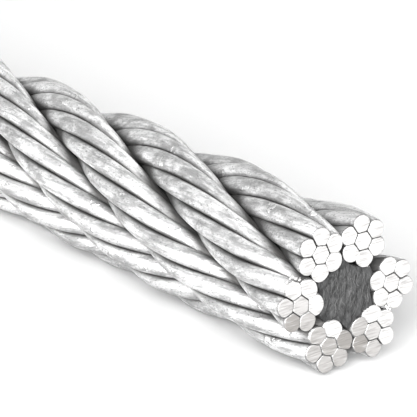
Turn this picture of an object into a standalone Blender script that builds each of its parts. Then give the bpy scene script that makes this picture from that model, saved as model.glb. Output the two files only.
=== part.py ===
"""A one-foot cut length of galvanised wire rope: six strands of seven wires, laid round a fibre core.

The rope lies on a level floor along X, and both ends are sawn square. Each wire starts as a straight rod, and
three twists lay it as a stranding machine does: a back twist about itself, so that the wire never turns over,
then one about its strand, to the left, and one about the rope, to the right. Two short twists more change the
lay near the end at +X, where the strands closed up and sprang back a little when they were cut.
"""

import math

import bmesh
import bpy
from mathutils import Matrix

# Driving dimensions, in metres
ROPE_LENGTH = 0.3048
WIRE_DIAMETER = 0.0025
ROPE_LAY = 0.163  # length of rope in which a strand goes once round it
STRAND_LAY = 0.056  # length of strand in which a wire goes once round it
CORE_RIDGE_HEIGHT = 0.0011  # how far the core swells out between two strands
CUT_EASE_LENGTH = 0.035  # length behind the end at +X in which the strands sprang back

# Clearances between neighbours, in metres
WIRE_GAP = 0.0001
STRAND_GAP = 0.0001
CORE_GAP = 0.0003

# How the strands and their wires stand at the sawn end at +X. The first strand's angle is from +Y towards +Z,
# and each strand's first outer wire is turned on from the strand's own angle by the value in the list
STRAND_COUNT = 6
OUTER_WIRE_COUNT = 6
FIRST_STRAND_ANGLE = math.radians(4)
WIRE_ANGLES_IN_STRAND = [math.radians(angle) for angle in (39, 28, 21, 49, 8, 30)]
CUT_EASE_ANGLE = math.radians(8.5)  # how far they sprang back

# Each strand closed up a little near that end: how far its wires turned in it, and over what length
WIRE_SHIFTS_IN_STRAND = [math.radians(angle) for angle in (36, 0, 8, 17, 18, 36)]
WIRE_SHIFT_LENGTHS = [0.075, 0.03, 0.04, 0.026, 0.034, 0.053]

# Fineness of the facets
WIRE_SIDES = 6
CORE_SIDES_PER_STRAND = 4
MOST_TURN_PER_SEGMENT = math.radians(40)

# A wire's net turn, seen along the rope, is its strand's turn less its own turn in the strand
ROPE_TURN = 2 * math.pi * ROPE_LENGTH / ROPE_LAY
WIRE_TURN = -2 * math.pi * ROPE_LENGTH / STRAND_LAY
SEGMENT_COUNT = math.ceil(abs(ROPE_TURN + WIRE_TURN) / MOST_TURN_PER_SEGMENT)

# The outer wires touch each other or the centre wire. A chord of a laid wire cuts inside its helix, so their
# circle is wider by that much
WIRE_SPACING = WIRE_DIAMETER + WIRE_GAP
TOUCHING_CIRCLE_RADIUS = max(WIRE_SPACING, WIRE_SPACING / 2 / math.sin(math.pi / OUTER_WIRE_COUNT))
WIRE_CIRCLE_RADIUS = TOUCHING_CIRCLE_RADIUS / math.cos(MOST_TURN_PER_SEGMENT / 2)
STRAND_RADIUS = WIRE_CIRCLE_RADIUS + WIRE_DIAMETER / 2
STRAND_CIRCLE_RADIUS = (STRAND_RADIUS + STRAND_GAP / 2) / math.sin(math.pi / STRAND_COUNT)
ROPE_RADIUS = STRAND_CIRCLE_RADIUS + STRAND_RADIUS
CORE_GROOVE_RADIUS = STRAND_CIRCLE_RADIUS - STRAND_RADIUS - CORE_GAP


def clear_scene():
    for obj in list(bpy.data.objects):
        bpy.data.objects.remove(obj, do_unlink=True)


def finish(name, colour, metallic, roughness):
    """A plain Principled material."""
    material = bpy.data.materials.new(name)
    material.use_nodes = True
    shader = material.node_tree.nodes["Principled BSDF"]
    shader.inputs["Base Color"].default_value = (*colour, 1.0)
    shader.inputs["Metallic"].default_value = metallic
    shader.inputs["Roughness"].default_value = roughness
    return material


def straight_rod(name, radius, sides, material):
    """A rod from the sawn end at x = 0 back to x = -ROPE_LENGTH, with rings all along it."""
    bm = bmesh.new()
    bmesh.ops.create_cone(
        bm,
        cap_ends=True,
        segments=sides,
        radius1=radius,
        radius2=radius,
        depth=ROPE_LENGTH,
        matrix=Matrix.Translation((-ROPE_LENGTH / 2, 0, 0)) @ Matrix.Rotation(math.pi / 2, 4, "Y"),
    )
    long_edges = [edge for edge in bm.edges if edge.calc_length() > ROPE_LENGTH / 2]
    bmesh.ops.subdivide_edges(bm, edges=long_edges, cuts=SEGMENT_COUNT - 1)
    mesh = bpy.data.meshes.new(name)
    bm.to_mesh(mesh)
    bm.free()
    mesh.materials.append(material)
    mesh.shade_smooth()
    mesh.set_sharp_from_angle(angle=math.radians(50))
    return mesh


def add_axis(name, collection, parent, location):
    """An empty at the sawn end, for pieces to be placed by and twisted about."""
    axis = bpy.data.objects.new(name, None)
    axis.location = location
    axis.parent = parent
    axis.empty_display_size = WIRE_DIAMETER
    collection.objects.link(axis)
    return axis


def add_piece(name, mesh, collection, parent, location=(0, 0, 0)):
    piece = bpy.data.objects.new(name, mesh)
    piece.location = location
    piece.parent = parent
    collection.objects.link(piece)
    return piece


def twist(piece, label, angle, axis=None, length=ROPE_LENGTH):
    """Twists the piece by angle, about axis or about its own line, over this length back from x = 0."""
    modifier = piece.modifiers.new(label, "SIMPLE_DEFORM")
    modifier.deform_method = "TWIST"
    modifier.deform_axis = "X"
    modifier.angle = angle
    modifier.origin = axis
    modifier.limits = (1 - length / ROPE_LENGTH, 1)


def lay_round_rope(piece, rope_axis):
    twist(piece, "Lay in the rope", ROPE_TURN, rope_axis)
    twist(piece, "Eased near the cut", -CUT_EASE_ANGLE, rope_axis, CUT_EASE_LENGTH)


def on_circle(radius, angle):
    return (0, radius * math.cos(angle), radius * math.sin(angle))


def lay_wire(name, mesh, collection, rope_axis, strand_axis, location, shift, shift_length):
    wire = add_piece(name, mesh, collection, strand_axis, location)
    twist(wire, "Back twist", -WIRE_TURN - ROPE_TURN)
    twist(wire, "Lay in the strand", WIRE_TURN, strand_axis)
    twist(wire, "Closed up near the cut", -shift, strand_axis, shift_length)
    lay_round_rope(wire, rope_axis)


def add_strand(number, wire_mesh, collection, rope_axis):
    """A straight centre wire and the six that are laid round it, all carried round the rope."""
    angle = FIRST_STRAND_ANGLE + (number - 1) * 2 * math.pi / STRAND_COUNT
    location = on_circle(STRAND_CIRCLE_RADIUS, angle)
    strand_axis = add_axis(f"strand_{number}_axis", collection, rope_axis, location)
    shift = WIRE_SHIFTS_IN_STRAND[(number - 1) % len(WIRE_SHIFTS_IN_STRAND)]
    shift_length = WIRE_SHIFT_LENGTHS[(number - 1) % len(WIRE_SHIFT_LENGTHS)]
    lay = (collection, rope_axis, strand_axis)
    lay_wire(f"strand_{number}_centre_wire", wire_mesh, *lay, (0, 0, 0), shift, shift_length)
    first_wire_angle = angle + WIRE_ANGLES_IN_STRAND[(number - 1) % len(WIRE_ANGLES_IN_STRAND)]
    for wire in range(OUTER_WIRE_COUNT):
        wire_angle = first_wire_angle + wire * 2 * math.pi / OUTER_WIRE_COUNT
        location = on_circle(WIRE_CIRCLE_RADIUS, wire_angle)
        name = f"strand_{number}_outer_wire_{wire + 1}"
        lay_wire(name, wire_mesh, *lay, location, shift, shift_length)


def core_outline_radius(angle):
    """The core's radius at an angle: hollowed by the nearest strand, and rounded off at the ridges between."""
    pitch = 2 * math.pi / STRAND_COUNT
    off_strand = (angle - FIRST_STRAND_ANGLE + pitch / 2) % pitch - pitch / 2
    ridge = CORE_GROOVE_RADIUS + CORE_RIDGE_HEIGHT
    aside = STRAND_CIRCLE_RADIUS * math.sin(off_strand)
    half_chord_squared = (STRAND_RADIUS + CORE_GAP) ** 2 - aside**2
    if half_chord_squared <= 0:
        return ridge
    return min(ridge, STRAND_CIRCLE_RADIUS * math.cos(off_strand) - math.sqrt(half_chord_squared))


def add_core(collection, rope_axis):
    """A rod with six grooves that the strands lie in, twisted with them."""
    material = finish("fibre_core", (0.055, 0.055, 0.05), 0.0, 0.9)
    mesh = straight_rod("fibre_core", CORE_GROOVE_RADIUS, CORE_SIDES_PER_STRAND * STRAND_COUNT, material)
    mesh.transform(Matrix.Rotation(FIRST_STRAND_ANGLE, 4, "X"))
    for vertex in mesh.vertices:
        radius = core_outline_radius(math.atan2(vertex.co.z, vertex.co.y))
        vertex.co.yz = vertex.co.yz.normalized() * radius
    core = add_piece("fibre_core", mesh, collection, rope_axis)
    lay_round_rope(core, rope_axis)


def build_rope():
    collection = bpy.data.collections.new("wire_rope")
    bpy.context.scene.collection.children.link(collection)
    rope_axis = add_axis("rope_axis", collection, None, (ROPE_LENGTH / 2, 0, ROPE_RADIUS))
    zinc = finish("galvanised_wire", (0.6, 0.6, 0.58), 1.0, 0.4)
    wire_mesh = straight_rod("wire", WIRE_DIAMETER / 2, WIRE_SIDES, zinc)
    for number in range(1, STRAND_COUNT + 1):
        add_strand(number, wire_mesh, collection, rope_axis)
    add_core(collection, rope_axis)


clear_scene()
build_rope()
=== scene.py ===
"""Fine surface, finishes, light and camera for a cut length of galvanised wire rope with a fibre core.

Every piece is a surface worked out on a grid of rings and points round them, in metres. The lay has a frame of its
own, which starts in the middle of the photographed end: x is along the rope, below 0 behind the cut, y is across
it and z is up. Shells.make moves the points into the CAD frame, where the rope lies on the floor.
"""
import math

import bpy
import numpy as np
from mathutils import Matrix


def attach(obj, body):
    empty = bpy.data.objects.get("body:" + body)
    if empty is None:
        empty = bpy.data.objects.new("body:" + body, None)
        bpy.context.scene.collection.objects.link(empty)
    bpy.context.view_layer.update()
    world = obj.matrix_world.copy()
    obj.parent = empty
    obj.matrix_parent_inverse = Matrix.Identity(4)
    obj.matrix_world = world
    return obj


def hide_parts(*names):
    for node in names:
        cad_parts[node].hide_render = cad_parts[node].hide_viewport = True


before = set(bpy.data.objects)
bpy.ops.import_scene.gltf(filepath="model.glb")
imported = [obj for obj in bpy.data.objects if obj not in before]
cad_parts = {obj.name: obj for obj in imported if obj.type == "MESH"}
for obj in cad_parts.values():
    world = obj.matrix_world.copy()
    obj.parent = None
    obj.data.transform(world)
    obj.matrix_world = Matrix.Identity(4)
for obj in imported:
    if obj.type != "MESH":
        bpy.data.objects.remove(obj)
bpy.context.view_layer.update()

# The rope, in metres
ROPE_LENGTH = 0.3048
CUT_X = ROPE_LENGTH / 2
AXIS_HEIGHT = 0.01215
STRAND_COUNT = 6
OUTER_WIRE_COUNT = 6
STRAND_CIRCLE_RADIUS = 0.00806
WIRE_SPACING = 0.00267  # from the middle of a strand to the middle of each outer wire
WIRE_RADIUS = 0.00134
ROPE_LAY = 0.163
WIRE_LAY = 0.056
STRAND_SLANT = math.atan(2 * math.pi * STRAND_CIRCLE_RADIUS / ROPE_LAY)

# How the strands stand at the sawn end: the angle from +Y towards +Z, what each is off its even place there, and
# the turn of its first outer wire from the strand's own angle
FIRST_STRAND_ANGLE = math.radians(4.1)
STRAND_SHIFTS = [math.radians(angle) for angle in (-3.7, 4.2, -0.2, -1.7, 1.7, -0.3)]
WIRE_ANGLES = [math.radians(angle) for angle in (42.6, 23.9, 20.7, 50.5, 6.7, 30.6)]
SHIFT_LENGTH = 0.022  # the strands stand evenly again this far behind the cut
EASE_ANGLE = math.radians(8.7)  # near the cut the lay is slacker, by this turn in all
EASE_LENGTH = 0.0188

# Each strand also closed up a little near the cut: its wires turned this far in it, between these places behind
# the cut
WIRE_SHIFTS = [math.radians(angle) for angle in (36, 0, 8, 17, 18, 36)]
WIRE_SHIFT_PLACES = (
    (0.037, 0.080), (0.0, 0.03), (0.029, 0.037), (0.0, 0.014), (0.012, 0.036), (0.014, 0.054),
)

# Where a wire is pressed flat on its neighbours: how far from its middle, and at which angles round it, in degrees
# from the side that faces out of its strand
WIRE_FLAT = 0.00131
OUTER_WIRE_FLATS = (120, 180, 240)
CENTRE_WIRE_FLATS = (0, 60, 120, 180, 240, 300)
LEAST_FLAT_COSINE = 0.3  # a flat is far outside the wire beyond this cosine of the angle from its middle

# Zinc that fills the grooves: how thick it is there, and between which angles it gets that thick
GROOVE_ZINC = 0.00011
GROOVE_ZINC_START, GROOVE_ZINC_END = math.radians(35), math.radians(90)

# The zinc's uneven surface: how many waves it has, how long and how high, and how many lumps, of which sizes
WAVE_COUNT = 14
WAVE_LENGTHS = (0.0022, 0.03)
WAVE_HEIGHT = 0.0000085
LUMP_COUNT = 70
LUMP_LENGTHS = (0.0005, 0.0016)
LUMP_WIDTHS = (0.0003, 0.0006)
LUMP_HEIGHTS = (0.00002, 0.00006)

# Where the zinc is dull and darkened by painted shade: within a radius of the rope's middle, the more so over the
# next length inwards, and where it doesn't face out of its strand, given as the cosine of the angle, the more so
# over the next range of cosines
SHADE_AND_DULL_RADIUS, SHADE_AND_DULL_REACH = 0.0103, 0.0024
SHADE_AND_DULL_COSINE, SHADE_AND_DULL_COSINE_RANGE = 0.60, 0.85
# At least this much on the centre wires, and this much on the rims of the ends, where the darkening is partly the
# zinc edge's own colour and partly painted shade in the gaps between the ends
CENTRE_WIRE_SHADE_AND_DULLNESS = 0.9
RIM_SHADE_AND_DULLNESS = 0.6

# The saw's plane leans a little: how far it runs along X for each metre across and each metre up. The rings behind
# it stand square again over the fading length
SAW_LEAN_Y = 0.0466
SAW_LEAN_Z = -0.0491
LEAN_FADING_LENGTH = 0.003

# The saw's marks: how far apart, how deep and how far off level, and in what lengths they swing along the stroke
# and across it and change their depth
SAW_MARK_PITCH = 0.00033
SAW_MARK_DEPTH = 0.000016
SAW_MARK_TILT = 0.09
SWING_ALONG, SWING_ACROSS = 0.0031, 0.0011
DEPTH_CHANGE = 0.0017

# Each end is tipped on its own by up to this much, and its marks start anywhere in a whole turn
END_TIP = 0.012
WHOLE_TURN = 6.28

# Wire ends with a ledge across them, by strand and wire: how far above the wire's middle it runs, in metres
LEDGES = {(4, 0): -0.00065, (4, 3): -0.00110, (4, 1): 0.0002, (5, 5): -0.0001}
LEDGE_HEIGHT = 0.00014
LEDGE_HALF_WIDTH = 0.00006
LEDGE_TILT = 0.1

# Burrs that the saw left: strand, wire, then y and z from the rope's middle and size, in metres
BURRS = (
    (3, 5, -0.0093, 0.0036, 0.00028), (3, 5, -0.0088, 0.0041, 0.00022), (3, 5, -0.0097, 0.0043, 0.00016),
    (3, 5, -0.0081, 0.0038, 0.00018), (3, 5, -0.0103, 0.0037, 0.00020), (5, 3, 0.0050, -0.0029, 0.00024),
    (5, 3, 0.0054, -0.0032, 0.00017), (0, 5, 0.0073, -0.0035, 0.00034), (0, 5, 0.0078, -0.0038, 0.00020),
    (1, 4, 0.0038, 0.0035, 0.00012), (1, 4, 0.0041, 0.0033, 0.00009),
)
BURR_SINK = 0.00012
BURR_RINGS, BURR_SIDES = 7, 10
BURR_POLE = 0.25  # the first ring's angle from the pole

# How bright each wire's sawn end is, from 0 to 1, by strand: the centre wire first, then the outer wires
END_SHADES = (
    (0.95, 1.0, 1.0, 1.0, 1.0, 1.0, 0.95),
    (1.0, 1.0, 1.0, 1.0, 1.0, 1.0, 1.0),
    (1.0, 1.0, 1.0, 1.0, 1.0, 1.0, 1.0),
    (0.75, 0.32, 0.55, 1.0, 1.0, 1.0, 0.75),
    (0.42, 0.55, 0.5, 0.28, 1.0, 0.5, 0.55),
    (0.7, 1.0, 1.0, 1.0, 0.55, 0.28, 0.6),
)
BURR_SHADE = 0.9

# A wire's shell: points round it, and its rings up to where they are closer together and from there on
OUTER_WIRE_GRID = (24, 150, 170)
CENTRE_WIRE_GRID = (12, 50, 60)
FINER_FROM = -0.120
SHELL_INSET = 0.0002  # the shell stops this far inside the discs on its ends

# The disc on a wire's end, ring by ring from behind its rim to its face: how far out as a share of the wire's
# radius, how far behind the face, and how much of the saw's marks. Then the face, with its points round and rings
RIM_SHARES = (0.90, 1.004, 0.985, 0.968, 0.945, 0.92)
RIM_BEHIND = (0.0004, 0.0003, 0.00010, 0.00004, 0.000012, 0.0)
RIM_MARKED = (0.0, 0.0, 0.0, 0.0, 0.0, 0.5)
RIM_ZINC_BANDS = 5  # so many bands, from the back, are zinc, and the rest are steel
# beyond this share of the radius the rim is dull and darker: partly the zinc edge's own colour, partly painted
# shade
SHADE_AND_DULL_RIM_SHARE = 0.93
FACE_SHARES = (0.89, 0.05)
NEAR_FACE_GRID = (72, 20)
FAR_FACE_GRID = (48, 12)
DISC_THICKNESS = 0.0004

# The core: its ridges between the strands, and how far off a strand's middle it lies in the hollows
CORE_RIDGE_RADIUS = 0.00535
CORE_HOLLOW_RADIUS = WIRE_SPACING + WIRE_RADIUS - 0.00015
CORE_SIDES, CORE_RINGS = 96, 150
CORE_FAR_INSET, CORE_NEAR_INSET = 0.0001, 0.0004
CORE_NEAR_FACE = (0.985, 0.03, 44)  # from which share of the radius to which, in how many rings
CORE_FAR_FACE = (0.05, 0.97, 12)
CORE_SINK = 0.00012  # its ends lie this far inside the cuts

# The core's rough end: bunches of fibre of these sizes, and how much their heading varies
BUNCH_COUNT = 26
BUNCH_SIZES = (0.0005, 0.003)
BUNCH_HEADING = 0.5
BUNCH_HEIGHT = 0.0009  # for a size of 1, and by the root of the size for others

# Loose fibres on the core's end
FIBRE_COUNT = 170
FIBRE_RINGS, FIBRE_SIDES = 9, 4
FIBRE_LENGTHS = (0.0008, 0.0030)
FIBRE_RADII = (0.000022, 0.000045)
FIBRE_BEND = 0.0004
FIBRE_LIFT = 0.00006
FIBRE_LEAN = 0.35
FIBRE_REACH, FIBRE_REACH_UP = 0.0042, 0.8

# Camera, from the photograph's perspective
CAMERA_PLACE = (0.43012, -0.21916, 0.14545)
CAMERA_AZIMUTH = math.radians(54.98)
CAMERA_ELEVATION = math.radians(18.79)
CAMERA_LENS = 224.5
CAMERA_SENSOR = 36.0

# Soft lights: azimuth from -Y towards +X and elevation in degrees, distance, width, height, and radiance. They
# face a point this far behind the cut
LIT_PLACE_BEHIND = 0.03
SOFTBOXES = {
    "key_softbox": (50, 23, 6.0, 5.2, 4.2, 46.0),
    "low_softbox": (0, 8, 5.0, 6.0, 1.2, 7.0),
    "front_softbox": (0, 30, 5.0, 6.0, 2.0, 1.6),
    "upper_softbox": (0, 60, 5.0, 5.0, 2.0, 0.3),
    "back_softbox": (180, 50, 5.0, 7.0, 2.4, 2.0),
    "right_softbox": (110, 30, 5.0, 5.0, 2.4, 4.6),
}

# Material slots on a wire
ZINC, STEEL = 0, 1

rng = np.random.default_rng(7)


# Small helpers

def smooth_step(value, low, high):
    """0 below low, 1 above high, and an S curve between."""
    share = np.clip((value - low) / (high - low), 0, 1)
    return share * share * (3 - 2 * share)


def wave(place, length, phase):
    """A sine wave of this length."""
    return np.sin(2 * np.pi * place / length + phase)


def nearest_turn(angle):
    """The same angle, between half a turn back and half a turn on."""
    return (angle + np.pi) % (2 * np.pi) - np.pi


def angles_round(count):
    """Even angles once round, as one row."""
    return np.linspace(0, 2 * np.pi, count, endpoint=False)[None, :]


def unit(vectors):
    """The vectors, each divided by its own length."""
    return vectors / np.linalg.norm(vectors, axis=-1, keepdims=True)


def any_size(own, sizes):
    """A size drawn between the least and the greatest, with every ratio as likely."""
    least, greatest = sizes
    return np.exp(own.uniform(np.log(least), np.log(greatest)))


# Shape of the lay

def rope_turn(x):
    """Turn of the strands about the rope at x: an even lay, plus an ease that dies away behind the cut."""
    return 2 * np.pi * x / ROPE_LAY + EASE_ANGLE * (1 - np.exp(x / EASE_LENGTH))


def strand_angle(strand, x):
    """A strand's place round the rope: its even place, its shift at the cut, fading backwards, and the turn."""
    even = FIRST_STRAND_ANGLE + strand * 2 * np.pi / STRAND_COUNT
    return even + STRAND_SHIFTS[strand] * np.exp(x / SHIFT_LENGTH) + rope_turn(x)


def wire_turn(strand, wire, x):
    """An outer wire's angle in its strand: its place at the cut, turned back once in each wire lay, and shifted
    between the two places where the strand closed up."""
    shift = WIRE_SHIFTS[strand] * smooth_step(-x, *WIRE_SHIFT_PLACES[strand])
    place = WIRE_ANGLES[strand] + (wire - 1) * 2 * np.pi / OUTER_WIRE_COUNT
    return place - 2 * np.pi * x / WIRE_LAY + shift


def wire_middle(strand, wire, x):
    """Middle of a wire in the plane across the rope at x. Wire 0 is the strand's middle. The others stand off it
    by the wire spacing, at their own angle in the strand. The sideways part is longer by one over the cosine of
    the strand's slant, because the plane cuts the strand aslant."""
    angle = strand_angle(strand, x)
    outward = STRAND_CIRCLE_RADIUS + 0 * x
    sideways = 0 * x
    if wire:
        turn = wire_turn(strand, wire, x)
        outward = outward + WIRE_SPACING * np.cos(turn)
        sideways = WIRE_SPACING * np.sin(turn) / math.cos(STRAND_SLANT)
    y = outward * np.cos(angle) - sideways * np.sin(angle)
    z = outward * np.sin(angle) + sideways * np.cos(angle)
    return np.stack([x + 0 * y, y, z], -1)


def wire_surface(strand, wire, across, radius, around, rounds=6, step=1e-5):
    """Points round a wire that lie in planes across the rope. A point is the wire's middle at some x, plus the
    radius along a direction square to the wire there; that x is moved by what the point is off its plane, round
    after round, until it lies in it. The planes are given as a function of a point's y and z."""
    x = across(0.0, 0.0) + 0 * radius * around
    for _ in range(rounds):
        middle = wire_middle(strand, wire, x)
        along = unit(wire_middle(strand, wire, x + step) - wire_middle(strand, wire, x - step))
        first = unit(np.array([0.0, 1.0, 0.0]) - along[..., 1:2] * along)
        second = np.cross(along, first)
        point = middle + (radius * np.cos(around))[..., None] * first
        point = point + (radius * np.sin(around))[..., None] * second
        x = x + across(point[..., 1], point[..., 2]) - point[..., 0]
    return point


# Mesh building

class Shells:
    """Closed shells gathered into one mesh. Each is a stack of rings with a point at both ends."""

    def __init__(self):
        self.points, self.quads, self.triangles = [], [], []
        self.quad_finish, self.triangle_finish = [], []
        self.values = {}
        self.count = 0

    def add(self, rings, first, last, finish, values):
        """Rings is an array of rings by points round. Quads join each ring to the next, and fans close the ends.
        Finish gives the material slot of each band between rings, fans included, and values what each point
        carries for the materials. A fan's own point gets its ring's mean."""
        ring_count, side_count, _ = rings.shape
        index = self.count + np.arange(ring_count * side_count).reshape(ring_count, side_count)
        after = np.roll(index, -1, axis=1)
        start = self.count + ring_count * side_count
        end = start + 1
        quads = np.stack([index[:-1], after[:-1], after[1:], index[1:]], -1).reshape(-1, 4)
        open_fan = np.stack([np.full(side_count, start), after[0], index[0]], -1)
        close_fan = np.stack([np.full(side_count, end), index[-1], after[-1]], -1)
        self.points += [rings.reshape(-1, 3), np.reshape(first, (1, 3)), np.reshape(last, (1, 3))]
        self.quads.append(quads)
        self.triangles += [open_fan, close_fan]
        self.quad_finish.append(np.repeat(finish[1:-1], side_count))
        self.triangle_finish += [np.full(side_count, finish[0]), np.full(side_count, finish[-1])]
        for name, array in values.items():
            flat = array.reshape(ring_count * side_count, -1)
            ends = [array[0].reshape(side_count, -1).mean(0), array[-1].reshape(side_count, -1).mean(0)]
            self.values.setdefault(name, []).append(np.concatenate([flat, ends]))
        self.count = end + 1

    def make(self, name, materials, sharp_degrees=35):
        """One mesh object of all the shells, moved from the lay's frame into the CAD frame."""
        points = np.concatenate(self.points) + np.array([CUT_X, 0.0, AXIS_HEIGHT])
        quads, triangles = np.concatenate(self.quads), np.concatenate(self.triangles)
        loops = np.concatenate([quads.ravel(), triangles.ravel()])
        sizes = np.concatenate([np.full(len(quads), 4), np.full(len(triangles), 3)])
        starts = np.concatenate([[0], np.cumsum(sizes)[:-1]])
        mesh = bpy.data.meshes.new(name)
        mesh.vertices.add(len(points))
        mesh.vertices.foreach_set("co", points.astype(np.float32).ravel())
        mesh.loops.add(len(loops))
        mesh.loops.foreach_set("vertex_index", loops.astype(np.int32))
        mesh.polygons.add(len(sizes))
        mesh.polygons.foreach_set("loop_start", starts.astype(np.int32))
        finish = np.concatenate(self.quad_finish + self.triangle_finish)
        mesh.update(calc_edges=True)
        for material in materials:
            mesh.materials.append(material)
        mesh.polygons.foreach_set("material_index", finish.astype(np.int32))
        for value_name, arrays in self.values.items():
            value = np.concatenate(arrays).astype(np.float32)
            kind, key = ("FLOAT_VECTOR", "vector") if value.shape[1] == 3 else ("FLOAT", "value")
            mesh.attributes.new(value_name, kind, "POINT").data.foreach_set(key, value.ravel())
        mesh.shade_smooth()
        mesh.set_sharp_from_angle(angle=math.radians(sharp_degrees))
        mesh.update()
        piece = bpy.data.objects.new(name, mesh)
        bpy.context.scene.collection.objects.link(piece)
        return piece


# Wires

def waves(x, around, seed):
    """A smooth uneven surface on a wire: a sum of waves of seeded lengths along it and whole turns round it."""
    own = np.random.default_rng(seed)
    total = 0 * x * around
    for _ in range(WAVE_COUNT):
        length = any_size(own, WAVE_LENGTHS)
        turns = own.integers(0, 4)
        phase = own.uniform(0, 2 * np.pi, 2)
        total = total + wave(x, length, phase[0]) * np.cos(turns * around + phase[1])
    return WAVE_HEIGHT * total / math.sqrt(WAVE_COUNT / 2)


def lumps(x, around, seed):
    """Little lumps of zinc: bell-shaped rises at seeded places on a wire, in metres."""
    own = np.random.default_rng(seed)
    total = 0 * x * around
    for _ in range(LUMP_COUNT):
        place, side = own.uniform(-ROPE_LENGTH, 0), own.uniform(0, 2 * np.pi)
        long, wide = own.uniform(*LUMP_LENGTHS), own.uniform(*LUMP_WIDTHS)
        height = own.uniform(*LUMP_HEIGHTS)
        apart = nearest_turn(around - side)
        total = total + height * np.exp(-((x - place) / long) ** 2 - (apart * WIRE_RADIUS / wide) ** 2)
    return total


def wire_radius(strand, wire, x, around):
    """Radius of one wire at x and round it: the drawn wire, the zinc that fills the grooves, the uneven zinc on it
    and the lumps in the zinc, all cut off flat where the wire is pressed on a neighbour. A flat's radius is its
    distance over the cosine of the angle from its middle."""
    seed = 100 * strand + wire
    turn = nearest_turn(around - (strand_angle(strand, x) + wire_turn(strand, wire, x)))
    filled = smooth_step(np.abs(turn), GROOVE_ZINC_START, GROOVE_ZINC_END) if wire else 1.0
    total = WIRE_RADIUS + GROOVE_ZINC * filled + waves(x, around, seed) + lumps(x, around, seed)
    for flat in (OUTER_WIRE_FLATS if wire else CENTRE_WIRE_FLATS):
        off = np.cos(turn - math.radians(flat))
        total = np.minimum(total, WIRE_FLAT / np.maximum(off, LEAST_FLAT_COSINE))
    return total


def groove_depth(strand, wire, points, x):
    """How deep a point lies in a groove, from 0 to 1: by how far it faces from its strand's outside, and by how
    near the rope's middle it is. The zinc is duller there and carries painted shade, darker the deeper it lies."""
    middle = wire_middle(strand, wire, x)[..., 1:]
    place = points[..., 1:]
    reach = np.hypot(place[..., 0], place[..., 1])
    # painted shade near the rope's middle, in the hollows between the strands
    inward = np.clip((SHADE_AND_DULL_RADIUS - reach) / SHADE_AND_DULL_REACH, 0, 1)
    # the centre wires, hidden inside their strands, take nearly the full painted shade
    if not wire:
        return np.maximum(inward, CENTRE_WIRE_SHADE_AND_DULLNESS)
    away = middle - wire_middle(strand, 0, x)[..., 1:]
    facing = place - middle
    facing = (away * facing).sum(-1) / np.linalg.norm(away, axis=-1) / np.linalg.norm(facing, axis=-1)
    # painted shade where a wire faces its neighbours, down in the grooves between wires
    between = np.clip((SHADE_AND_DULL_COSINE - facing) / SHADE_AND_DULL_COSINE_RANGE, 0, 1)
    return np.maximum(between, inward)


def straightened(strand, wire, x, around, radius):
    """Where a point would be if its wire were drawn out straight: how far along it, and where round it. Each wire
    is moved on by a length of its own, so that no two have the same pattern."""
    turn = around - strand_angle(strand, x) - wire_turn(strand, wire, x)
    own_length = 0.7 * strand + 5.1 * wire
    parts = np.broadcast_arrays(x + own_length, radius * np.cos(turn), radius * np.sin(turn))
    return np.stack(parts, -1)


def saw_plane(y, z):
    """How far along the rope the saw's plane is at a place across it: y and z, each times the plane's lean."""
    return SAW_LEAN_Y * y + SAW_LEAN_Z * z


def leaning_planes(x):
    """Planes square to the rope far from the cut, which lean as the saw's plane does near it."""
    return lambda y, z: x + saw_plane(y, z) * np.exp(x / LEAN_FADING_LENGTH)


def saw_marks(y, z, phase):
    """Fine ridges that the saw left, nearly level: a wave across the stroke that swings a little, of uneven
    depth."""
    level = z * math.cos(SAW_MARK_TILT) - y * math.sin(SAW_MARK_TILT)
    stroke = y * math.cos(SAW_MARK_TILT) + z * math.sin(SAW_MARK_TILT)
    swing = 0.6 * wave(stroke, SWING_ALONG, phase) + 0.5 * wave(level, SWING_ACROSS, 2 * phase)
    depth = 0.6 + 0.4 * wave(level, DEPTH_CHANGE, 3 * phase)
    return SAW_MARK_DEPTH * depth * wave(level, SAW_MARK_PITCH, swing)


def ledge(strand, wire, y, z, middle):
    """A step across a wire's end, where the saw stopped and went on a little less deep below it."""
    if (strand, wire) not in LEDGES:
        return 0 * y
    level = (z - middle[2]) * math.cos(LEDGE_TILT) + (y - middle[1]) * math.sin(LEDGE_TILT)
    level = level - LEDGES[strand, wire]
    return LEDGE_HEIGHT * (1 - smooth_step(level, -LEDGE_HALF_WIDTH, LEDGE_HALF_WIDTH))


def add_shell(shells, strand, wire, shade):
    """A wire's long shell, with rings closer together near the photographed end."""
    sides, far_rings, near_rings = OUTER_WIRE_GRID if wire else CENTRE_WIRE_GRID
    around = angles_round(sides)
    far = np.linspace(-ROPE_LENGTH + SHELL_INSET, FINER_FROM, far_rings, endpoint=False)
    near = np.linspace(FINER_FROM, -SHELL_INSET, near_rings)
    x = np.concatenate([far, near])[:, None]
    radius = wire_radius(strand, wire, x, around)
    rings = wire_surface(strand, wire, leaning_planes(x), radius, around)
    ends = wire_middle(strand, wire, x[[0, -1], 0])
    ends[1, 0] += saw_plane(ends[1, 1], ends[1, 2])
    depth = groove_depth(strand, wire, rings, x + 0 * around)
    laid = straightened(strand, wire, x, around, radius)
    values = {"groove": depth, "end_shade": shade + 0 * depth, "laid": laid}
    shells.add(rings, ends[0], ends[1], np.full(len(x) + 1, ZINC), values)


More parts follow.
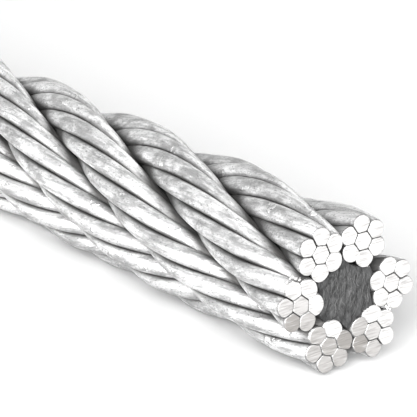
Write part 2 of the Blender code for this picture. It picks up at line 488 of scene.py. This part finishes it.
def add_end(shells, strand, wire, shade, near):
    """A disc on a wire's end, with a rounded rim. Its face is the plane of the cut, tipped a little on its own,
    with the saw's marks and any ledge."""
    sides, steps = NEAR_FACE_GRID if near else FAR_FACE_GRID
    around = angles_round(sides)
    place, outwards = (0.0, 1) if near else (-ROPE_LENGTH, -1)
    share = np.concatenate([RIM_SHARES, np.linspace(*FACE_SHARES, steps)])[:, None]
    behind = np.concatenate([RIM_BEHIND, np.zeros(steps)])[:, None]
    marked = np.concatenate([RIM_MARKED, np.ones(steps)])[:, None]
    phase = rng.uniform(0, WHOLE_TURN)
    tip, turn = rng.uniform(-END_TIP, END_TIP, 2)
    middle = wire_middle(strand, wire, np.array([place]))[0]

    def face(y, z):
        lean = saw_plane(y, z) if near else 0.0
        tipped = tip * (y - middle[1]) + turn * (z - middle[2])
        step = ledge(strand, wire, y, z, middle) if near else 0.0
        return place - outwards * behind + lean + step + marked * (saw_marks(y, z, phase) + tipped)

    rings = wire_surface(strand, wire, face, share * wire_radius(strand, wire, place, around), around)
    back = middle + [-outwards * DISC_THICKNESS, 0, 0]
    if near:
        back[0] += saw_plane(middle[1], middle[2])
    front = rings[-1].mean(0)
    finish = np.concatenate([np.full(RIM_ZINC_BANDS, ZINC), np.full(len(rings) + 1 - RIM_ZINC_BANDS, STEEL)])
    everywhere = 0 * rings[..., 0]
    values = {
        # the rim's zinc edge, darkened partly as its own colour and partly as painted shade in the gaps between
        # the ends
        "groove": RIM_SHADE_AND_DULLNESS * (share > SHADE_AND_DULL_RIM_SHARE) + everywhere,
        "end_shade": shade + everywhere,
        "laid": straightened(strand, wire, rings[..., 0], around, share * WIRE_RADIUS),
    }
    if not near:
        rings = rings[:, ::-1]
        values = {name: array[:, ::-1] for name, array in values.items()}
    shells.add(rings, back, front, finish, values)


def add_burr(shells, y, z, size, seed):
    """A torn crumb of steel at the saw's plane: a ball whose radius swells and shrinks by two waves, squashed
    along the rope."""
    own = np.random.default_rng(seed)
    tilt = np.linspace(BURR_POLE, np.pi - BURR_POLE, BURR_RINGS)[:, None]
    around = angles_round(BURR_SIDES)
    radius = size * (1 + 0.45 * np.sin(2 * around + 3 * tilt + own.uniform(0, 6)) * np.sin(tilt))
    radius = radius * (1 + 0.3 * np.cos(3 * around + own.uniform(0, 6)))
    squash = np.array([0.55, 1.0, own.uniform(0.6, 1.4)])
    middle = np.array([saw_plane(y, z) - BURR_SINK, y, z])
    ball = [np.cos(tilt) + 0 * around, np.sin(tilt) * np.cos(around), np.sin(tilt) * np.sin(around)]
    rings = middle + radius[..., None] * np.stack(ball, -1) * squash
    values = {"groove": 0 * radius, "end_shade": BURR_SHADE + 0 * radius, "laid": rings}
    shells.add(rings[::-1], rings[-1].mean(0), rings[0].mean(0), np.full(BURR_RINGS + 1, STEEL), values)


def make_wire(strand, wire, materials, shade):
    """A wire: its long shell, a disc on each end, and any burrs."""
    shells = Shells()
    add_shell(shells, strand, wire, shade)
    for near in (True, False):
        add_end(shells, strand, wire, shade, near)
    for seed, (burr_strand, burr_wire, y, z, size) in enumerate(BURRS):
        if (burr_strand, burr_wire) == (strand, wire):
            add_burr(shells, y, z, size, seed)
    name = f"strand_{strand + 1}_outer_wire_{wire}" if wire else f"strand_{strand + 1}_centre_wire"
    piece = shells.make(name + "_fine", materials)
    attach(piece, "root")
    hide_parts(name)


# Core

def core_outline(x, around):
    """The core's radius at an angle: up to a rounded ridge between two strands, and hollowed by the strands."""
    outline = CORE_RIDGE_RADIUS + 0 * x * around
    for strand in range(STRAND_COUNT):
        off = nearest_turn(around - strand_angle(strand, x))
        aside = STRAND_CIRCLE_RADIUS * np.sin(off)
        chord = np.sqrt(np.maximum(CORE_HOLLOW_RADIUS ** 2 - aside ** 2, 0))
        hollow = STRAND_CIRCLE_RADIUS * np.cos(off) - chord
        on_this_side = (np.abs(off) < np.pi / 2) & (chord > 0)
        outline = np.where(on_this_side, np.minimum(outline, hollow), outline)
    return outline


def core_relief(y, z):
    """Rough end of the core: bunches of fibre, cut unevenly, that stand or sink by a few tenths of a millimetre.
    It is a sum of waves across the end, whose height goes by the root of their length."""
    own = np.random.default_rng(21)
    total = 0 * y
    for _ in range(BUNCH_COUNT):
        size = any_size(own, BUNCH_SIZES)
        heading = own.normal(0.0, BUNCH_HEADING)
        phase = own.uniform(0, 2 * np.pi)
        total = total + size ** 0.5 * wave(y * math.cos(heading) + z * math.sin(heading), size, phase)
    return BUNCH_HEIGHT * total


def add_fibre(shells, own):
    """A loose fibre on the core's end: a thin tube that runs mostly up and down, bends aside and lifts a little in
    its middle, and gets thinner towards its tips."""
    along = np.linspace(-0.5, 0.5, FIBRE_RINGS)
    length, bend = own.uniform(*FIBRE_LENGTHS), own.uniform(-FIBRE_BEND, FIBRE_BEND)
    lean = own.normal(0.0, FIBRE_LEAN)
    bearing, reach = own.uniform(0, 2 * np.pi), FIBRE_REACH * math.sqrt(own.uniform(0, 1))
    y = reach * math.cos(bearing) + length * along * math.sin(lean) + bend * np.cos(3 * along)
    z = reach * math.sin(bearing) * FIBRE_REACH_UP + length * along * math.cos(lean)
    x = saw_plane(y, z) + core_relief(y, z) - CORE_SINK + own.uniform(0.0, FIBRE_LIFT) * np.cos(2.2 * along)
    thick = (own.uniform(*FIBRE_RADII) * (1.15 - np.abs(2 * along)) ** 0.5)[:, None]
    around = angles_round(FIBRE_SIDES)
    x, y, z = x[:, None], y[:, None], z[:, None]
    rings = np.stack([x + thick * np.cos(around), y + thick * np.sin(around), z + 0 * around], -1)
    shade = own.uniform(0.3, 1.0) + 0 * rings[..., 0]
    shells.add(rings, rings[0].mean(0), rings[-1].mean(0), np.zeros(len(rings) + 1), {"pale": shade})


def make_core(material):
    """The core: rings that follow the strands' hollows and turn with them, a rough end, and loose fibres on it."""
    shells = Shells()
    x = np.linspace(-ROPE_LENGTH + CORE_FAR_INSET, -CORE_NEAR_INSET, CORE_RINGS)[:, None]
    around = angles_round(CORE_SIDES)
    radius = core_outline(x, around)
    body = np.stack([x + 0 * radius, radius * np.cos(around), radius * np.sin(around)], -1)

    share = np.linspace(*CORE_NEAR_FACE)[:, None]
    y, z = share * radius[-1] * np.cos(around), share * radius[-1] * np.sin(around)
    end = np.stack([saw_plane(y, z) + core_relief(y, z) - CORE_SINK, y, z], -1)

    share = np.linspace(*CORE_FAR_FACE)[:, None]
    y, z = share * radius[0] * np.cos(around), share * radius[0] * np.sin(around)
    start = np.stack([-ROPE_LENGTH + CORE_SINK - np.minimum(core_relief(z, y), 0.0), y, z], -1)

    rings = np.concatenate([start, body, end])
    finish = np.zeros(len(rings) + 1)
    shells.add(rings, start[0].mean(0), end[-1].mean(0), finish, {"pale": 0 * rings[..., 0]})
    own = np.random.default_rng(5)
    for _ in range(FIBRE_COUNT):
        add_fibre(shells, own)
    piece = shells.make("fibre_core_fine", [material], sharp_degrees=60)
    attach(piece, "root")
    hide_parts("fibre_core")


# Shader nodes

def node(tree, kind, settings=None, inputs=None):
    """A shader node. An input takes a number, a colour or another node's output."""
    made = tree.nodes.new(kind)
    for name, value in (settings or {}).items():
        setattr(made, name, value)
    for name, value in (inputs or {}).items():
        socket = made.inputs[name]
        if isinstance(value, bpy.types.NodeSocket):
            tree.links.new(value, socket)
        else:
            socket.default_value = value
    return made


def calculate(tree, operation, first, second=0.5, third=0.5):
    """What a Math node makes of one, two or three values."""
    return node(tree, "ShaderNodeMath", {"operation": operation}, {0: first, 1: second, 2: third}).outputs[0]


def weighted_sum(tree, *terms):
    """The sum of several values, each given with its weight."""
    total = 0.0
    for value, weight in terms:
        total = calculate(tree, "MULTIPLY_ADD", value, weight, total)
    return total


def ramp(tree, value, low, high, to_low=0.0, to_high=1.0):
    """Value moved from one range to another, smoothly and without passing its ends."""
    inputs = {"Value": value, "From Min": low, "From Max": high, "To Min": to_low, "To Max": to_high}
    return node(tree, "ShaderNodeMapRange", {"interpolation_type": "SMOOTHSTEP"}, inputs).outputs["Result"]


def blend(tree, share, first, second):
    """The first colour, with this share of the second."""
    mixed = node(tree, "ShaderNodeMix", {"data_type": "RGBA"}, {"Factor": share, "A": first, "B": second})
    return mixed.outputs["Result"]


def grey(value, warmth=0.0):
    """A grey, with a little more red and less blue the warmer it is."""
    return (value * (1 + warmth), value, value * (1 - warmth), 1.0)


def noise(tree, place, scale, detail, roughness=0.5, distortion=0.0):
    """Noise between 0 and 1, with scale as its patches to the metre."""
    inputs = {"Vector": place, "Scale": scale, "Detail": detail, "Roughness": roughness}
    inputs["Distortion"] = distortion
    return node(tree, "ShaderNodeTexNoise", None, inputs).outputs["Fac"]


def attribute(tree, name, output="Fac"):
    """What each point of a piece carries under this name."""
    return node(tree, "ShaderNodeAttribute", {"attribute_name": name}).outputs[output]


def object_place(tree):
    """A point's place in the CAD frame, in metres."""
    return node(tree, "ShaderNodeTexCoord").outputs["Object"]


def scaled(tree, place, shares):
    """A place multiplied in x, y and z. A share under 1 draws a pattern out that way."""
    return node(tree, "ShaderNodeVectorMath", {"operation": "MULTIPLY"}, {0: place, 1: shares}).outputs[0]


def distance_along(tree, place, direction):
    """How far a place is along a direction, times the direction's length."""
    inputs = {0: place, 1: direction}
    return node(tree, "ShaderNodeVectorMath", {"operation": "DOT_PRODUCT"}, inputs).outputs["Value"]


def raise_surface(tree, shader, height, distance):
    """Bump by a height, of this many metres where the height is 1."""
    bump = node(tree, "ShaderNodeBump", None, {"Strength": 1.0, "Distance": distance, "Height": height})
    tree.links.new(bump.outputs["Normal"], shader.inputs["Normal"])


def new_finish(name):
    """A material with a Principled shader, its node tree and that shader."""
    material = bpy.data.materials.new(name)
    material.use_nodes = True
    tree = material.node_tree
    tree.nodes.clear()
    shader = node(tree, "ShaderNodeBsdfPrincipled")
    output = node(tree, "ShaderNodeOutputMaterial")
    tree.links.new(shader.outputs["BSDF"], output.inputs["Surface"])
    return material, tree, shader


def make_grain_group():
    """Uneven surface: broad patches, fine grain and small pits, sized by how many patches go to the metre."""
    group = bpy.data.node_groups.new("uneven_grain", "ShaderNodeTree")
    for name, kind in (("Place", "NodeSocketVector"), ("Patches per metre", "NodeSocketFloat")):
        group.interface.new_socket(name, in_out="INPUT", socket_type=kind)
    for name in ("Patches", "Grain", "Pits"):
        group.interface.new_socket(name, in_out="OUTPUT", socket_type="NodeSocketFloat")
    start, end = group.nodes.new("NodeGroupInput"), group.nodes.new("NodeGroupOutput")
    place, scale = start.outputs["Place"], start.outputs["Patches per metre"]
    patches = noise(group, place, scale, 7.0, 0.74)
    grain = noise(group, place, calculate(group, "MULTIPLY", scale, 9.5), 3.0, 0.65)
    inputs = {"Vector": place, "Scale": calculate(group, "MULTIPLY", scale, 1.9), "Smoothness": 0.4}
    cells = node(group, "ShaderNodeTexVoronoi", {"feature": "SMOOTH_F1"}, inputs)
    group.links.new(patches, end.inputs["Patches"])
    group.links.new(grain, end.inputs["Grain"])
    group.links.new(ramp(group, cells.outputs["Distance"], 0.05, 0.30), end.inputs["Pits"])
    return group


def uneven_grain(tree, group, place, patches_per_metre):
    """The grain group's outputs, for a pattern at this place."""
    inputs = {"Place": place, "Patches per metre": patches_per_metre}
    return node(tree, "ShaderNodeGroup", {"node_tree": group}, inputs).outputs


# Finishes

def galvanised_zinc(group):
    """Hot-dip zinc on the wires: mottled light and mid grey, drawn out and streaked along the wire, with crusty
    patches that have dark edges, speckled, and dull down in the grooves, where painted shade darkens it."""
    material, tree, shader = new_finish("galvanised_zinc")
    groove = attribute(tree, "groove")
    laid = attribute(tree, "laid", "Vector")
    surface = uneven_grain(tree, group, scaled(tree, laid, (0.42, 1.0, 1.0)), 480.0)
    patches, grain = surface["Patches"], surface["Grain"]
    streaks = noise(tree, scaled(tree, laid, (0.07, 1.0, 1.0)), 2300.0, 3.0, 0.6)
    crust = noise(tree, object_place(tree), 330.0, 5.0, 0.62)
    off_crust_edge = calculate(tree, "ABSOLUTE", calculate(tree, "SUBTRACT", crust, 0.64))
    crust_edge = ramp(tree, off_crust_edge, 0.003, 0.014, 1.0, 0.0)
    slow = noise(tree, laid, 55.0, 1.0)

    light = blend(tree, ramp(tree, slow, 0.35, 0.65), grey(0.78), grey(0.96))
    mottled = blend(tree, ramp(tree, patches, 0.38, 0.58), grey(0.42), light)
    streaked = blend(tree, ramp(tree, streaks, 0.46, 0.66, 0.0, 0.65), mottled, grey(0.34))
    crusty = blend(tree, ramp(tree, crust, 0.63, 0.66, 0.0, 0.6), streaked, grey(0.80))
    speckled = blend(tree, ramp(tree, grain, 0.56, 0.66, 0.0, 0.8), crusty, grey(0.17))
    edged = blend(tree, calculate(tree, "MULTIPLY", crust_edge, 0.8), speckled, grey(0.13))
    # painted shade: the colour goes dark in the grooves, near the rope's middle, on the centre wires and partly on
    # the ends' rims
    with_painted_shade = blend(tree, ramp(tree, groove, 0.06, 0.85), edged, grey(0.05, 0.02))
    tree.links.new(with_painted_shade, shader.inputs["Base Color"])

    shader.inputs["Metallic"].default_value = 0.92
    grainy = ramp(tree, grain, 0.3, 0.7, 0.32, 0.50)
    matt = ramp(tree, groove, 0.3, 1.0, 0.0, 0.30)
    tree.links.new(weighted_sum(tree, (grainy, 1.0), (matt, 1.0)), shader.inputs["Roughness"])
    crust_rise = ramp(tree, crust, 0.61, 0.68, 0.0, 0.8)
    height = weighted_sum(
        tree, (patches, 0.8), (grain, 0.4), (surface["Pits"], 0.35), (crust_rise, 1.0), (streaks, -0.5))
    raise_surface(tree, shader, height, 0.00011)
    return material


def sawn_steel(group):
    """The wires' sawn ends: bright steel, scored nearly level, a little greyer on some wires than on others. The
    score marks are noise drawn out along the saw's stroke."""
    material, tree, shader = new_finish("sawn_steel")
    shade = attribute(tree, "end_shade")
    place = object_place(tree)
    surface = uneven_grain(tree, group, place, 1100.0)
    level = distance_along(tree, place, (0.0, -0.06, 1.0))
    stroke = distance_along(tree, place, (0.3, 0.07, 0.0))
    drawn = node(tree, "ShaderNodeCombineXYZ", None, {"X": level, "Y": stroke, "Z": shade}).outputs[0]
    scores = noise(tree, drawn, 4000.0, 1.5)

    bright = blend(tree, shade, grey(0.047, 0.13), grey(0.25, 0.012))
    scored = blend(tree, ramp(tree, scores, 0.50, 0.66, 0.0, 0.35), bright, grey(0.05, 0.06))
    glinting = blend(tree, ramp(tree, scores, 0.30, 0.42, 0.4, 0.0), scored, grey(0.25))
    worn = blend(tree, ramp(tree, surface["Patches"], 0.5, 0.8, 0.0, 0.3), glinting, grey(0.12, 0.03))
    tree.links.new(worn, shader.inputs["Base Color"])

    shader.inputs["Metallic"].default_value = 0.5
    shader.inputs["Roughness"].default_value = 0.55
    height = weighted_sum(tree, (surface["Grain"], 0.5), (scores, -0.8))
    raise_surface(tree, shader, height, 0.00004)
    return material


def oiled_fibre(group):
    """The core: dark, oily, streaked up and down, with paler torn fibres."""
    material, tree, shader = new_finish("oiled_fibre")
    place = object_place(tree)
    patches = uneven_grain(tree, group, place, 600.0)["Patches"]
    streaks = noise(tree, scaled(tree, place, (1.0, 1.0, 0.34)), 4200.0, 3.0, 0.6, 0.6)

    oily = blend(tree, ramp(tree, patches, 0.35, 0.7), grey(0.006, -0.01), grey(0.016, -0.01))
    streaked = blend(tree, ramp(tree, streaks, 0.50, 0.72, 0.0, 0.8), oily, grey(0.028, -0.01))
    shadowed = blend(tree, ramp(tree, streaks, 0.30, 0.45, 0.7, 0.0), streaked, grey(0.005))
    torn = blend(tree, attribute(tree, "pale"), shadowed, grey(0.042))
    tree.links.new(torn, shader.inputs["Base Color"])

    shader.inputs["Roughness"].default_value = 0.85
    shader.inputs["Specular IOR Level"].default_value = 0.2
    raise_surface(tree, shader, streaks, 0.00012)
    return material


def pale_floor():
    """A pale floor that throws back less light onto the rope than it shows to the camera."""
    material, tree, shader = new_finish("pale_floor")
    seen = node(tree, "ShaderNodeLightPath").outputs["Is Camera Ray"]
    tree.links.new(blend(tree, seen, grey(0.17), grey(0.292)), shader.inputs["Base Color"])
    shader.inputs["Roughness"].default_value = 0.9
    shader.inputs["Specular IOR Level"].default_value = 0.2
    return material


# The rope

def make_rope():
    """The 42 wires and the core."""
    group = make_grain_group()
    materials = [galvanised_zinc(group), sawn_steel(group)]
    for strand, shades in enumerate(END_SHADES):
        for wire, shade in enumerate(shades):
            make_wire(strand, wire, materials, shade)
    make_core(oiled_fibre(group))


# Floor, light and camera

def make_floor():
    """A level square under the rope."""
    reach = 6.0
    corners = [(-reach, -reach, 0.0), (reach, -reach, 0.0), (reach, reach, 0.0), (-reach, reach, 0.0)]
    mesh = bpy.data.meshes.new("floor")
    mesh.from_pydata(corners, [], [(0, 1, 2, 3)])
    mesh.materials.append(pale_floor())
    floor = bpy.data.objects.new("floor", mesh)
    bpy.context.scene.collection.objects.link(floor)


def make_sky():
    """Light grey near the horizon and a little greyer overhead."""
    world = bpy.data.worlds.new("studio")
    world.use_nodes = True
    tree = world.node_tree
    tree.nodes.clear()
    direction = node(tree, "ShaderNodeTexCoord").outputs["Generated"]
    height = node(tree, "ShaderNodeSeparateXYZ", None, {0: direction}).outputs["Z"]
    colour = blend(tree, ramp(tree, height, 0.02, 0.30), grey(0.38), grey(0.36))
    background = node(tree, "ShaderNodeBackground", None, {"Color": colour, "Strength": 1.0})
    node(tree, "ShaderNodeOutputWorld", None, {"Surface": background.outputs[0]})
    bpy.context.scene.world = world


def softbox(name, azimuth, elevation, distance, width, height, radiance):
    """A flat soft light that faces the rope near its sawn end from this azimuth and elevation."""
    light = bpy.data.lights.new(name, "AREA")
    light.shape = "RECTANGLE"
    light.size, light.size_y = width, height
    light.energy = radiance * math.pi * width * height
    lamp = bpy.data.objects.new(name, light)
    a, e = math.radians(azimuth), math.radians(elevation)
    back = (math.sin(a) * math.cos(e), -math.cos(a) * math.cos(e), math.sin(e))
    lit_x = CUT_X - LIT_PLACE_BEHIND
    lamp.location = (lit_x + distance * back[0], distance * back[1], distance * back[2])
    lamp.rotation_euler = (math.pi / 2 - e, 0, a)
    lamp.visible_camera = False
    bpy.context.scene.collection.objects.link(lamp)


def make_camera():
    """A camera where the photograph was taken from."""
    camera = bpy.data.cameras.new("camera")
    camera.lens, camera.sensor_width = CAMERA_LENS, CAMERA_SENSOR
    camera.clip_start, camera.clip_end = 0.01, 20.0
    place = bpy.data.objects.new("camera", camera)
    place.location = CAMERA_PLACE
    place.rotation_euler = (math.pi / 2 - CAMERA_ELEVATION, 0, CAMERA_AZIMUTH)
    bpy.context.scene.collection.objects.link(place)
    bpy.context.scene.camera = place


make_rope()
make_floor()
make_sky()
for name, values in SOFTBOXES.items():
    softbox(name, *values)
make_camera()
bpy.context.scene.view_settings.view_transform = "Standard"
